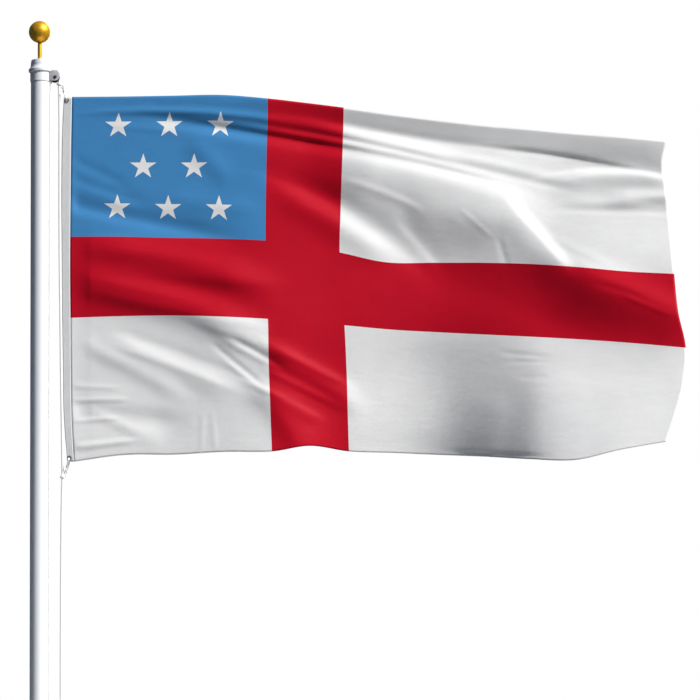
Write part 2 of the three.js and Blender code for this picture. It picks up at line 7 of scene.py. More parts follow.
import bmesh
import bpy
import numpy as np
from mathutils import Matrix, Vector


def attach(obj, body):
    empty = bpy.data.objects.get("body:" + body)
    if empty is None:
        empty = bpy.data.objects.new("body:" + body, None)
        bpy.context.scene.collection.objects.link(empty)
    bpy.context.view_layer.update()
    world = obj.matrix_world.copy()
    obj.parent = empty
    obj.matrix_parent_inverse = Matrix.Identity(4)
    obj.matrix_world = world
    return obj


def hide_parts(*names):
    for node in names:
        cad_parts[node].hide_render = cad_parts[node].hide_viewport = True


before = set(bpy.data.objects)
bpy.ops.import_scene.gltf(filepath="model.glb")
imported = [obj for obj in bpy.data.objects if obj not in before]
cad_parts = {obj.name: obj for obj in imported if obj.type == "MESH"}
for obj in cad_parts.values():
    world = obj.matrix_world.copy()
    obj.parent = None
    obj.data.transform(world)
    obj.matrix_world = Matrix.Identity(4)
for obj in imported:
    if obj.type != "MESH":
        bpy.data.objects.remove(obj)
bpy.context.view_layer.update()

MM = 0.001

# Camera: from far away it looks up a little at the middle of the photograph, which is this wide there
PHOTO_WIDTH = 1.729
LOOK_AT = (0.7677, 0, 2.1538)
LOOK_UP = math.radians(12)
CAMERA_AWAY = 75
SENSOR = 36

# Lamps: a sun, and a softer one behind the flag for its back. Light comes from these directions, and the
# wider the angle is that it fills, the softer it is.
SUN = {"from": (0.65, -0.45, 0.62), "strength": 4.9, "angle": math.radians(8)}
FILL = {"from": (0.35, 1, 0.3), "strength": 2.1, "angle": math.radians(40)}

# Sky: its strength straight below and straight above, its colours at the left and at the right, and the
# places across it, from -1 at the left to 1 at the right, between which one turns into the other
SKY_STRENGTH = (0.04, 0.26)
SKY_COLORS = ((0.34, 0.47, 0.72, 1), (1, 1, 0.98, 1))
SKY_CHANGE = (-0.6, 0.4)

FLOOR_HALF = 1.6
FLOOR_COLOR = (0.82, 0.82, 0.82, 1)

# Pole and its fittings: radii, and heights above the ground. The truck's edge is the chamfer at its top
# and under its rim, and the stem's collar slopes in at its upper end.
POLE = {"radius": 0.022, "bore": 0.020, "bottom": 0.0043, "top": 2.88}
FOOT = {"disc": 0.004, "neck": 0.0197, "top": 0.064}
TRUCK = {"top": 2.887, "top_radius": 0.0212, "rim_radius": 0.0276, "rim_top": 2.8635, "rim_bottom": 2.857,
         "sleeve": 0.0236, "bottom": 2.832, "inside": 0.0223, "ceiling": 2.8803, "edge": 0.0015}
BALL = {"radius": 0.0274, "centre": 2.9587}
STEM = {"radius": 0.0052, "base": 0.0068, "bottom": 2.8873, "collar": 0.005, "slope": 0.002, "top": 2.931}

# Steps around a turned body, around the stem, down the ball and down the truck's flare
ROUND_STEPS = 96
STEM_STEPS = 48
BALL_STEPS = 48
FLARE_STEPS = 12

# How wide the edges are rounded on each kind of piece, and in how many steps. An edge flatter than the
# angle stays as it is.
EDGE_WIDTH = {"pole": 0.0005, "truck": 0.0004, "stem": 0.0004, "knot": 0.0004, "fitting": 0.0003,
              "hook": 0.0002}
EDGE_STEPS = 2
EDGE_ANGLE = math.radians(30)

# Points nearer to each other than this are one point, and shorter edges than this are dropped. Faces of
# a CAD node that meet at less than the angle are one face.
MERGE_WITHIN = 1e-6
SHORTEST_EDGE = 1e-7
FLAT_ANGLE = math.radians(1)

# Halyard: its radius, how fine its mesh is, and its braid's strands and the length of their turn
ROPE_RADIUS = 0.003
ROPE_SIDES = 12
ROPE_STEP = 0.004
BRAID_STRANDS = 8
BRAID_PITCH = 0.0045

# The cloth: its flat size and its cells, both along and down, how often its weave repeats, and its
# colours
CLOTH_FLAT = (1.524, 0.914)
CLOTH_CELLS = (280, 166)
CLOTH_THICK = 0.001
CLOTH_WEAVE = 0.0011
CLOTH_WHITE = (0.806, 0.80, 0.793, 1)
CLOTH_RED = (0.515, 0.003, 0.017, 1)
CLOTH_BLUE = (0.055, 0.235, 0.50, 1)

# Where the cloth's hoist corner hangs. Whatever comes forward from there is lowered by this share of the
# way, so that the camera, which looks up, still sees it in its place.
HOIST = (0.081, -0.004, 2.793)
VIEW_DROP = math.tan(LOOK_UP)

# The heading: its width and how far its free edge turns back, both in millimetres, its cells across and
# down, how often its weave repeats, and its stitches' pitch, half width and rows
HEADING = {"width": 23, "turn": 3, "thick": 0.0024, "cells": (8, 150)}
CANVAS_WEAVE = 0.0016
STITCH = {"pitch": 0.004, "half": 0.0006, "rows": (0.003, 0.0235)}

# The cloth's edges and between them those of the printed cross, as shares of the way along and down
CROSS_ALONG = [0, 0.315, 0.4416, 1]
CROSS_DOWN = [0, 0.394, 0.605, 1]

# The canton's stars: how far apart they and their rows are, a star's radius to its points, how far the
# outer rows reach to each side of the canton's middle, and how much less far the middle row does
STARS = {"pitch": 0.125, "row": 0.105, "radius": 0.034, "sides": 0.19, "narrower": 0.065}

# Where the level lines run, in millimetres below the hoist corner, at these shares of the way along
LEVEL_LINES = {
    "along": [0, 0.08, 0.16, 0.24, 0.315, 0.378, 0.4416, 0.52, 0.6, 0.68, 0.76, 0.84, 0.92, 1],
    "top": [-1, -2, -4, -6, 3, 14, 26, 42, 57, 70, 80, 91, 100, 111],
    "bar_top": [353, 353, 356, 358, 363, 376, 393, 418, 419, 419, 422, 430, 441, 447],
    "bar_bottom": [558, 554, 552, 555, 561, 569, 577, 588, 595, 601, 607, 614, 623, 634],
    "bottom": [921, 904, 903, 896, 895, 881, 895, 899, 904, 908, 914, 916, 890, 870],
}

# Where the upright lines run, in millimetres from the hoist corner, at these shares of the way down. The
# edge is the heading's free one, and the seam is where the cloth begins.
UPRIGHT_LINES = {
    "down": [0, 0.06, 0.13, 0.26, 0.394, 0.5, 0.605, 0.74, 0.87, 1],
    "edge": [-21, -24, -26, -27, -26, -25, -24, -22, -20, -11],
    "seam": [-1, -2, -3, -4, -5, -5, -4, -3, -1, 5],
    "bar_left": [483, 483, 481, 479, 478, 480, 484, 486, 490, 494],
    "bar_right": [671, 670, 668, 664, 661, 667, 673, 678, 681, 684],
    "fly": [1469, 1459, 1465, 1477, 1487, 1496, 1515, 1510, 1491, 1465],
}

# The flag's broad billow: how many millimetres it stands out towards the front, at these shares of the
# way along and, a row for each, down
BILLOW_ALONG = [0, 0.16, 0.315, 0.4416, 0.6, 0.76, 0.88, 1]
BILLOW_DOWN = [0, 0.2, 0.394, 0.605, 0.8, 1]
BILLOW = [
    [0, 2, 5, 3, 5, 12, 20, 30],
    [0, 3, 10, 10, 14, 22, 30, 40],
    [0, 8, 20, 18, 16, 43, 70, 90],
    [0, 14, 30, 18, 12, 51, 82, 100],
    [0, 12, 26, 4, -4, 81, 117, 128],
    [0, 10, 24, -6, -16, 99, 145, 156],
]

# The main folds: each runs from one place to another, measured along and down from the hoist corner,
# with its middle hanging by sag under the straight line. It is a ridge of this height, or a trough
# where that is negative, this wide above and below its crest, and it widens by a factor to its end.
FOLDS = [
    # from along, down, to along, down, sag, above, below, height, widen
    # The strip along the top edge leans out, with a trough under it
    (-30, 0, 1205, 71, -25, 30, 30, 5, 1.3),
    (390, -23, 1699, 119, 8, 35, 45, 12, 1),
    (563, 60, 1403, 185, 5, 18, 20, -4, 1.3),
    # Folds that fan out from the top hook
    (10, 41, 909, 147, -43, 10, 10, 3, 1.5),
    (680, 88, 1290, 228, 0, 10, 20, 3.5, 1.4),
    (143, 41, 909, 190, -11, 10, 16, -3.5, 1.5),
    # A pocket and short folds at the fly edge
    (1176, 225, 1526, 228, -30, 9, 26, 6, 1),
    (1304, 260, 1551, 255, -8, 14, 20, 6, 1),
    (1190, 266, 1440, 272, 0, 14, 12, 2, 1),
    # Slanting ridges and hollows in the upper fly panel and across the upright bar
    (563, 124, 1205, 316, -10, 55, 110, 27, 1),
    (1045, 237, 1245, 465, 0, 18, 60, 13, 1),
    (469, 180, 924, 480, -30, 35, 28, -6, 1),
    (469, 225, 810, 427, -10, 25, 35, 6, 1),
    (810, 270, 1100, 345, 0, 50, 60, 5, 1),
    # Along the level bar
    (-30, 376, 538, 500, -25, 33, 36, 13, 1.3),
    (-60, 446, 520, 618, -22, 30, 42, 15, 1.3),
    (740, 376, 1403, 626, 0, 90, 60, -6, 1),
    (1170, 418, 1601, 618, -20, 38, 110, 13, 1),
    # Lower hoist panel
    (57, 588, 440, 760, 8, 22, 30, 5, 1),
    (-5, 608, 316, 778, -5, 20, 20, 4, 1.2),
    (267, 548, 588, 674, 0, 22, 14, 3.5, 1.2),
    (-5, 790, 240, 890, -20, 35, 25, 3, 1),
    # Foot of the upright bar
    (440, 626, 736, 816, -20, 25, 25, 7, 1.2),
    (415, 702, 588, 967, -35, 55, 35, 9, 1),
    # The tall ridge of the lower fly panel, and shallow hollows across it
    (1175, 560, 1150, 1200, 0, 125, 75, 12, 1),
    (640, 660, 1620, 740, 0, 60, 120, -5, 1),
    (480, 905, 1300, 930, 0, 60, 40, -6, 1),
]
# A fold rises and fades over this share of its length. The folds also fade into the hoist seam, and the
# finer creases closer to it, over these millimetres.
FOLD_FADE = 0.3
SEAM_FADE = 50
CREASE_FADE = 18

# Finer creases, which the CAD cloth leaves out. They are laid over the photograph, so their ends,
# sag and widths are in its pixels, and their heights in millimetres. A pixel is this many millimetres
# along and down, and the hoist corner is at this one.
PIXEL = (2.47, 2.525)
HOIST_PIXEL = (72, 97)
CREASES = [
    # from x, y, to x, y, sag, above, below, height, widen
    # Troughs and edges that run from the canton into the upper fly panel, from the top edge down
    (300, 117, 500, 149, 2.4, 5, 3.5, -2.2, 1),
    (470, 147.5, 660, 178, -6, 2.5, 8, -3.5, 1),
    (55, 116, 300, 124, -9, 3, 3, 2.2, 1),
    (290, 122, 500, 172, -1, 5, 3.5, 2.5, 1),
    (215, 118, 520, 180, -5.5, 3, 3, -3, 1),
    (225, 124.5, 540, 192.5, -6.8, 2, 2.5, 1.5, 1),
    (110, 114, 560, 196, -7.5, 4.5, 6, -5, 1),
    # The fan between them and the fly edge
    (425, 150, 590, 193, 4, 5, 3.5, -3, 1),
    (415, 164, 500, 183, 0, 2, 2, -1.2, 1),
    (440, 145, 600, 166, 0, 2.5, 12, 2.5, 1),
    (520, 180, 690, 181, -13, 14, 3, -7, 1),
    (590, 204, 700, 193, 0, 3, 7, 2, 1),
    (540, 210, 700, 214, 0, 5, 2, -1.5, 1),
    # Slanting creases of the upper fly panel
    (395, 212, 450, 275, 0, 12, 6, -3, 1),
    (335, 178, 432, 216, -4, 3, 5, 1.8, 1),
    (455, 204, 496, 240, 0, 1.5, 3, 0.8, 1),
    (498, 236, 508, 270, 0, 3, 3, -1.2, 1),
    (535, 230, 630, 276, 0, 5, 3, 0.8, 1),
    # Canton and upper part of the upright bar
    (20, 191, 260, 243, 3, 10, 7, -6, 1),
    (45, 170, 160, 209, 0, 7, 5, -2, 1),
    (50, 148, 140, 194, 0, 6, 5, -1.5, 1),
    (185, 135, 235, 185, 0, 12, 10, 3, 1),
    (150, 196, 270, 212, 0, 10, 10, 2.5, 1),
    (105, 125, 180, 132, 0, 3, 3, 1, 1),
    (240, 162, 370, 217, 0, 14, 6, -2, 1),
    # Lower hoist panel
    (90, 340, 250, 398, -4, 5, 4, 1.5, 1),
    (90, 325, 260, 385, -3, 6, 5, -1.5, 1),
    (225, 334, 290, 372, 0, 4, 2.5, -2, 1),
    (205, 338, 270, 392, 0, 3, 2.5, -2, 1),
    (232, 377, 290, 400, 0, 2.5, 3, 1.5, 1),
    (215, 335, 285, 372, 0, 3, 4, 2, 1),
    (220, 358, 275, 398, 0, 3, 3, 1.5, 1),
    (60, 404, 195, 424, 4, 10, 14, -6, 1),
    (203, 408, 201, 458, 0, 2, 2, 0.8, 1),
    (212, 410, 216, 456, 0, 2, 2, 0.8, 1),
    (78, 404, 150, 438, 0, 5, 6, 1.6, 1),
    # Puckers at the heading
    (60, 401, 135, 399, 0, 2, 2, 2.6, 1),
    (60, 423, 125, 417, 0, 2, 2, 2.6, 1),
    (60, 449, 145, 439, 0, 2.5, 3, 4, 1),
    (60, 386, 125, 388, 0, 2, 2, 1.8, 1),
    # Crumpled edge of the level bar's fly corner
    (530, 250, 720, 332, 6, 16, 20, 4, 1),
    (590, 283, 650, 303, -2, 3, 3, -1.5, 1),
    (615, 290, 680, 318, 2, 3, 2.5, 1.5, 1),
    # Level bar, along its main folds
    (60, 262, 300, 285, 3, 9, 8, 3, 1),
    (60, 285, 280, 330, 2, 6, 6, 2, 1),
    # Foot of the upright bar
    (255, 338, 360, 392, 0, 4, 4, 2.5, 1),
    (250, 362, 350, 412, 0, 4, 4, 2.5, 1),
    (255, 385, 330, 425, 0, 3.5, 8, 3, 1),
    # Lower fly panel and its hem
    (495, 352, 555, 358, 0, 2, 2, -1.2, 1),
    (505, 362, 555, 362, 0, 2, 2, -1.2, 1),
    (515, 378, 550, 377, 0, 2, 2, -1, 1),
    (500, 385, 485, 480, 0, 14, 22, 3, 1),
    (440, 452, 560, 458, 0, 3, 2, -3, 1),
]

# The halyard: one rope, from its tail at the cleat up the pole, over the pulley and down to the cleat
HALYARD = [
    # Hitch on the cleat's lower horn, from the tail
    (0.0415, -0.0102, 1.068), (0.041, -0.01, 1.095), (0.038, -0.0098, 1.12), (0.032, -0.004, 1.131),
    (0.034, 0.005, 1.133), (0.044, 0.0102, 1.135), (0.0538, 0.0078, 1.138), (0.055, -0.002, 1.141),
    (0.0538, -0.0084, 1.144), (0.042, -0.0105, 1.148), (0.032, -0.003, 1.154), (0.029, 0.005, 1.161),
    (0.028, 0.0105, 1.176), (0.028, 0.0108, 1.225), (0.0265, 0.005, 1.26),
    # Up beside the pole
    (0.0256, 0, 1.33), (0.0256, 0, 1.7), (0.0256, 0, 2.15), (0.0256, 0, 2.55), (0.0259, 0, 2.79),
    (0.0274, 0, 2.826),
    # Over the pulley
    (0.0275, 0, 2.843), (0.0289, 0, 2.8482), (0.0326, 0, 2.8519), (0.0378, 0, 2.8533), (0.043, 0, 2.8519),
    (0.0467, 0, 2.8482), (0.0481, 0, 2.843),
    # Down beside the flag, drawn towards it by the hooks
    (0.0478, 0, 2.815), (0.049, 0, 2.747), (0.0493, 0, 2.62), (0.0495, 0, 2.5), (0.0506, 0, 2.365),
    (0.0524, 0, 2.24), (0.054, 0, 2.114), (0.0558, 0, 2), (0.0576, 0, 1.9), (0.058, 0, 1.833),
    (0.0564, 0, 1.74), (0.0556, 0, 1.6), (0.0552, 0, 1.33),
    # Figure of eight on the cleat, and its tail
    (0.0552, -0.001, 1.264), (0.0542, -0.0086, 1.248), (0.048, -0.0104, 1.234), (0.043, -0.01, 1.218),
    (0.041, -0.01, 1.2), (0.038, -0.0098, 1.184), (0.0345, -0.0035, 1.174), (0.0345, 0.0045, 1.172),
    (0.04, 0.0108, 1.178), (0.048, 0.0106, 1.186), (0.0544, 0.0076, 1.195), (0.056, 0, 1.204),
    (0.0556, -0.008, 1.211), (0.051, -0.0145, 1.218), (0.044, -0.0165, 1.226), (0.037, -0.013, 1.233),
    (0.033, -0.005, 1.238), (0.033, 0.004, 1.239), (0.04, 0.011, 1.232), (0.053, 0.0094, 1.219),
    (0.0627, -0.001, 1.203), (0.055, -0.013, 1.188), (0.044, -0.014, 1.174), (0.034, -0.005, 1.163),
    (0.034, 0.0045, 1.162), (0.042, 0.011, 1.161), (0.052, 0.013, 1.152), (0.058, 0.01, 1.138),
    (0.06, 0.008, 1.11), (0.06, 0.008, 1.078),
]


# Making meshes

def new_object(name, mesh, slot, *nodes):
    """A piece on the frame, which replaces these CAD nodes. Its slot is not used."""
    piece = bpy.data.objects.new(name, mesh)
    bpy.context.scene.collection.objects.link(piece)
    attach(piece, "root")
    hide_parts(*nodes)
    return piece


def mesh_from(name, points, faces, uv=None, smooth=True):
    """A mesh of these points and faces. uv gives each point's place on the flat material."""
    mesh = bpy.data.meshes.new(name)
    mesh.from_pydata(np.asarray(points, float).tolist(), [], [list(map(int, face)) for face in faces])
    if uv is not None:
        layer = mesh.uv_layers.new(name="flat")
        corner = np.zeros(len(mesh.loops), np.int32)
        mesh.loops.foreach_get("vertex_index", corner)
        layer.data.foreach_set("uv", np.asarray(uv, np.float32)[corner].ravel())
    mesh.polygons.foreach_set("use_smooth", [smooth] * len(mesh.polygons))
    mesh.update()
    return mesh


def grid_faces(high, wide, first=0, flip=False):
    """Quads over a grid of points that starts at this point."""
    row, col = np.mgrid[0:high - 1, 0:wide - 1]
    a = first + row * wide + col
    quads = np.stack([a, a + wide, a + wide + 1, a + 1], -1).reshape(-1, 4)
    return quads[:, ::-1] if flip else quads


def grid_normals(points):
    """The normals of a grid of points, away from the front."""
    down_cloth, along_cloth = np.gradient(points, axis=0), np.gradient(points, axis=1)
    normals = np.cross(along_cloth, down_cloth)
    return normals / np.linalg.norm(normals, axis=-1)[..., None]


def sheet_mesh(name, middle, thick, uv):
    """A closed sheet of this thickness, from the grid of points in its middle."""
    high, wide = middle.shape[:2]
    count = high * wide
    normal = grid_normals(middle)
    front = (middle - normal * thick / 2).reshape(-1, 3)
    back = (middle + normal * thick / 2).reshape(-1, 3)
    index = np.arange(count).reshape(high, wide)
    rim = np.concatenate([index[0, :-1], index[:-1, -1], index[-1, :0:-1], index[:0:-1, 0]])
    after = np.roll(rim, -1)
    edge = np.stack([rim, after, after + count, rim + count], -1)
    faces = np.concatenate([grid_faces(high, wide), grid_faces(high, wide, count, True), edge])
    flat = uv.reshape(-1, 2)
    return mesh_from(name, np.concatenate([front, back]), faces, np.concatenate([flat, flat]))


def lathe_mesh(name, outline, steps):
    """A body turned about Z. The outline is pairs of radius and height that starts and ends on the axis,
    or closes on itself."""
    mesh = bpy.data.meshes.new(name)
    work = bmesh.new()
    points = [work.verts.new((radius, 0, height)) for radius, height in outline]
    edges = [work.edges.new(pair) for pair in zip(points, points[1:])]
    bmesh.ops.spin(work, geom=points + edges, cent=(0, 0, 0), axis=(0, 0, 1), angle=2 * math.pi,
                   steps=steps, use_duplicate=False)
    bmesh.ops.remove_doubles(work, verts=work.verts, dist=MERGE_WITHIN)
    bmesh.ops.dissolve_degenerate(work, edges=work.edges, dist=SHORTEST_EDGE)
    bmesh.ops.recalc_face_normals(work, faces=work.faces)
    for face in work.faces:
        face.smooth = True
    work.to_mesh(mesh)
    work.free()
    return mesh


def soften(piece, width):
    """Rounds a piece's sharp edges and smooths what lies between them."""
    bevel = piece.modifiers.new("soft_edges", "BEVEL")
    bevel.width = width
    bevel.segments = EDGE_STEPS
    bevel.limit_method = "ANGLE"
    bevel.angle_limit = EDGE_ANGLE
    bevel.harden_normals = True
    return piece


def refined(node, slot, width):
    """A copy of a CAD node with rounded edges and smooth faces, which replaces the node."""
    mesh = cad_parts[node].data.copy()
    work = bmesh.new()
    work.from_mesh(mesh)
    bmesh.ops.remove_doubles(work, verts=work.verts, dist=MERGE_WITHIN)
    bmesh.ops.dissolve_limit(work, angle_limit=FLAT_ANGLE, verts=work.verts, edges=work.edges)
    for face in work.faces:
        face.smooth = True
    work.to_mesh(mesh)
    work.free()
    mesh.materials.clear()
    return soften(new_object(f"{node}_piece", mesh, slot, node), width)


# Curves and ropes

def cubic(share, start, leave, end, arrive):
    """A smooth curve between two values with these slopes at its ends, at this share of the way."""
    square, cube = share**2, share**3
    return ((2 * cube - 3 * square + 1) * start + (cube - 2 * square + share) * leave
            + (3 * square - 2 * cube) * end + (cube - square) * arrive)


def route(points, step):
    """Places about one step apart on a centripetal Catmull-Rom curve through the points."""
    points = np.array(points, float)
    padded = np.vstack([2 * points[0] - points[1], points, 2 * points[-1] - points[-2]])
    places = []
    for before, start, end, after in zip(padded, padded[1:], padded[2:], padded[3:]):
        first, middle, last = [math.sqrt(np.linalg.norm(b - a))
                               for a, b in ((before, start), (start, end), (end, after))]
        straight_way = (end - start) / middle
        leave = ((start - before) / first - (end - before) / (first + middle) + straight_way) * middle
        arrive = (straight_way - (after - start) / (middle + last) + (after - end) / last) * middle
        count = max(2, round(np.linalg.norm(end - start) / step))
        share = (np.arange(count) / count)[:, None]
        places.append(cubic(share, start, leave, end, arrive))
    return np.vstack(places + [points[-1:]])


def tube_mesh(name, places, radius, sides):
    """A closed round tube along these places. Its flat material runs once around and along in metres."""
    ways = np.gradient(places, axis=0)
    ways /= np.linalg.norm(ways, axis=1)[:, None]
    # A first direction across the tube, from any other direction than its own
    side = np.cross(ways[0], (0.3, 0.9, 0.1))
    far = np.concatenate([[0], np.cumsum(np.linalg.norm(np.diff(places, axis=0), axis=1))])
    turn = np.linspace(0, 2 * math.pi, sides + 1)
    rings = []
    for place, way in zip(places, ways):
        side = side - way * side.dot(way)
        side /= np.linalg.norm(side)
        other = np.cross(way, side)
        rings.append(place + radius * (np.cos(turn)[:, None] * side + np.sin(turn)[:, None] * other))
    points = np.array(rings)
    high, wide = points.shape[:2]
    uv = np.stack(np.broadcast_arrays(turn[None, :] / (2 * math.pi), far[:, None]), -1)
    faces = list(grid_faces(high, wide, 0, True))
    faces.append(list(range(wide - 1)))
    faces.append([(high - 1) * wide + i for i in reversed(range(wide - 1))])
    mesh = mesh_from(name, points.reshape(-1, 3), faces, uv.reshape(-1, 2))
    work = bmesh.new()
    work.from_mesh(mesh)
    bmesh.ops.remove_doubles(work, verts=work.verts, dist=MERGE_WITHIN)
    work.to_mesh(mesh)
    work.free()
    return mesh


# Cloth

def between(stations, values, at):
    """A smooth curve through the stations' values, read at these places. values may hold an array for
    each station."""
    stations = np.asarray(stations, float)
    values = np.asarray(values, float)
    if values.ndim == 1:
        values = values.reshape(-1, *[1] * np.ndim(at))
    values = np.broadcast_to(values, (len(stations), *np.shape(at)))
    last = len(stations) - 1
    before = np.maximum(np.arange(last + 1) - 1, 0)
    after = np.minimum(np.arange(last + 1) + 1, last)
    spans = (stations[after] - stations[before]).reshape(-1, *[1] * np.ndim(at))
    slopes = (values[after] - values[before]) / spans
    i = np.clip(np.searchsorted(stations, at, side="right") - 1, 0, last - 1)
    step = stations[i + 1] - stations[i]

    def read(table, k):
        return np.take_along_axis(table, k[None], 0)[0]

    return cubic((at - stations[i]) / step, read(values, i), read(slopes, i) * step,
                 read(values, i + 1), read(slopes, i + 1) * step)


def straight(stations, values, at):
    """The same with straight lines between the stations. values holds an array for each station."""
    result = np.zeros_like(at)
    last = len(stations) - 2
    for k in range(last + 1):
        share = (at - stations[k]) / (stations[k + 1] - stations[k])
        inside = (at >= stations[k]) & ((at < stations[k + 1]) | (k == last))
        result = np.where(inside, values[k] * (1 - share) + values[k + 1] * share, result)
    return result


def upright_line(key, down):
    """How far along one of the upright lines runs, at these shares of the way down."""
    return between(UPRIGHT_LINES["down"], UPRIGHT_LINES[key], down)


def level_line(key, along):
    """How far down one of the level lines runs, at these shares of the way along."""
    return between(LEVEL_LINES["along"], LEVEL_LINES[key], along)


def share_grid(along_cells, down_cells):
    """The shares of the way along and down a sheet of this many cells, at each of its points."""
    down, along = np.meshgrid(np.linspace(0, 1, down_cells + 1), np.linspace(0, 1, along_cells + 1),
                              indexing="ij")
    return along, down


def place_of(along, down):
    """Where a point of the flat cloth comes, as millimetres along and down from the hoist corner."""
    uprights = [upright_line(key, down) for key in ("seam", "bar_left", "bar_right", "fly")]
    levels = [level_line(key, along) for key in ("top", "bar_top", "bar_bottom", "bottom")]
    return straight(CROSS_ALONG, uprights, along), straight(CROSS_DOWN, levels, down)


def fold_height(fold, x, z):
    """How many millimetres a fold adds at places along and down from the hoist corner."""
    x0, z0, x1, z1, sag, above, below, height, widen = fold
    long = math.hypot(x1 - x0, z1 - z0)
    way_x, way_z = (x1 - x0) / long, (z1 - z0) / long
    share = ((x - x0) * way_x + (z - z0) * way_z) / long
    # The crest hangs in a parabola, and a place's way off it is measured square to it
    lean = 4 * sag * (1 - 2 * share) / long
    off = ((z - z0) * way_x - (x - x0) * way_z - 4 * sag * share * (1 - share)) / np.hypot(1, lean)
    width = np.where(off < 0, above, below) * (1 + (widen - 1) * np.clip(share, 0, 1))
    near = np.clip(np.minimum(share, 1 - share) / FOLD_FADE, 0, 1)
    return height * near**2 * (3 - 2 * near) * np.exp(-(off / width)**2)


def from_pixels(crease):
    """A crease as a fold in millimetres."""
    x0, y0, x1, y1, sag, above, below, height, widen = crease
    start, end = [((x - HOIST_PIXEL[0]) * PIXEL[0], (y - HOIST_PIXEL[1]) * PIXEL[1])
                  for x, y in ((x0, y0), (x1, y1))]
    return *start, *end, sag * PIXEL[1], above * PIXEL[1], below * PIXEL[1], height, widen


def stands_out(along, down, x, z):
    """How far the cloth stands out towards the front, in millimetres."""
    rows = np.stack([between(BILLOW_ALONG, row, along) for row in BILLOW])
    main = between(BILLOW_DOWN, rows, down) + sum(fold_height(fold, x, z) for fold in FOLDS)
    fine = sum(fold_height(from_pixels(crease), x, z) for crease in CREASES)
    from_seam = x - upright_line("seam", down)
    return main * np.minimum(1, from_seam / SEAM_FADE) + fine * np.minimum(1, from_seam / CREASE_FADE)


def in_place(x, z, out):
    """A point of the flag in the frame, from millimetres along and down from the hoist corner, and out."""
    y = HOIST[1] - out * MM
    return np.stack([HOIST[0] + x * MM, y, HOIST[2] - z * MM + y * VIEW_DROP], -1)


# Materials

class Graph:
    """A material's nodes, written as calls."""

    def __init__(self, name):
        self.material = bpy.data.materials.new(name)
        self.material.use_nodes = True
        self.tree = self.material.node_tree
        self.shader = self.tree.nodes["Principled BSDF"]

    def node(self, kind, inputs=(), **settings):
        made = self.tree.nodes.new(kind)
        for key, value in settings.items():
            setattr(made, key, value)
        for key, value in dict(inputs).items():
            self.connect(value, made.inputs[key])
        return made

    def connect(self, value, socket):
        if isinstance(value, bpy.types.NodeSocket):
            self.tree.links.new(value, socket)
        else:
            socket.default_value = value

    def math(self, operation, *values):
        return self.node("ShaderNodeMath", dict(enumerate(values)), operation=operation).outputs[0]

    def mix(self, share, first, second):
        made = self.node("ShaderNodeMix", {0: share}, data_type="RGBA")
        self.connect(first, made.inputs[6])
        self.connect(second, made.inputs[7])
        return made.outputs[2]

    def noise(self, place, scale, detail=2.0, stretch=(1, 1, 1)):
        mapping = self.node("ShaderNodeMapping", {"Vector": place, "Scale": stretch})
        inputs = {"Vector": mapping.outputs[0], "Scale": scale, "Detail": detail}
        return self.node("ShaderNodeTexNoise", inputs).outputs[0]

    def bump(self, height, distance, strength=1.0, under=None):
        inputs = {"Height": height, "Distance": distance, "Strength": strength}
        if under is not None:
            inputs["Normal"] = under
        return self.node("ShaderNodeBump", inputs).outputs[0]

    def finish(self, **sockets):
        """Sets the shader's own sockets, with spaces for the underscores in their names."""
        for key, value in sockets.items():
            self.connect(value, self.shader.inputs[key.replace("_", " ")])
        return self.material


def object_place(graph):
    """The place in the object's own space."""
    return graph.node("ShaderNodeTexCoord").outputs["Object"]


def flat_place(graph):
    """The place on the flat material, as two values."""
    flat = graph.node("ShaderNodeUVMap", uv_map="flat")
    both = graph.node("ShaderNodeSeparateXYZ", {0: flat.outputs[0]})
    return both.outputs[0], both.outputs[1]


def paint_material():
    """White paint on metal, with faint streaks down the pole."""
    graph = Graph("white_paint")
    place = object_place(graph)
    streak = graph.noise(place, 60, 3, (1, 1, 0.02))
    color = graph.mix(streak, (0.80, 0.82, 0.85, 1), (0.88, 0.89, 0.90, 1))
    roughness = graph.math("MULTIPLY_ADD", graph.noise(place, 25), 0.15, 0.28)
    normal = graph.bump(graph.noise(place, 900, 1), 0.00004)
    return graph.finish(Base_Color=color, Roughness=roughness, Normal=normal)


def metal_material(name, color, worn, roughness, grain, metallic=1):
    """Bare or plated metal, with its colour where it is worn, its roughness and its grain's depth."""
    graph = Graph(name)
    place = object_place(graph)
    patches = graph.noise(place, 120, 4)
    base = graph.mix(patches, color, worn)
    rough = graph.math("MULTIPLY_ADD", patches, 0.2, roughness - 0.1)
    normal = graph.bump(graph.noise(place, 1500, 2), grain)
    return graph.finish(Base_Color=base, Roughness=rough, Normal=normal, Metallic=metallic)


def plastic_material(name, color, worn):
    """Moulded plastic that is a little paler where it is worn."""
    graph = Graph(name)
    place = object_place(graph)
    base = graph.mix(graph.noise(place, 150, 3), color, worn)
    roughness = graph.math("MULTIPLY_ADD", graph.noise(place, 300), 0.2, 0.35)
    normal = graph.bump(graph.noise(place, 1200, 2), 0.00003)
    return graph.finish(Base_Color=base, Roughness=roughness, Normal=normal)


def rope_material():
    """A braid: two sets of strands that wind both ways around the rope, with painted shade between them."""
    graph = Graph("rope")
    around, far = flat_place(graph)
    turns = graph.math("MULTIPLY", around, BRAID_STRANDS * 2 * math.pi)
    run = graph.math("MULTIPLY", far, 2 * math.pi / BRAID_PITCH)
    strands = [graph.math("SINE", graph.math(way, run, turns)) for way in ("ADD", "SUBTRACT")]
    braid = graph.math("MAXIMUM", *strands)
    # The strands are painted lighter where they stand out and darker in the grooves between them: painted
    # shade.
    painted_strand_shade = graph.math("MULTIPLY_ADD", braid, 0.5, 0.5)
    color = graph.mix(painted_strand_shade, (0.86, 0.86, 0.86, 1), (0.98, 0.98, 0.98, 1))
    normal = graph.bump(braid, 0.0002)
    return graph.finish(Base_Color=color, Roughness=0.85, Normal=normal, Sheen_Weight=0.15)


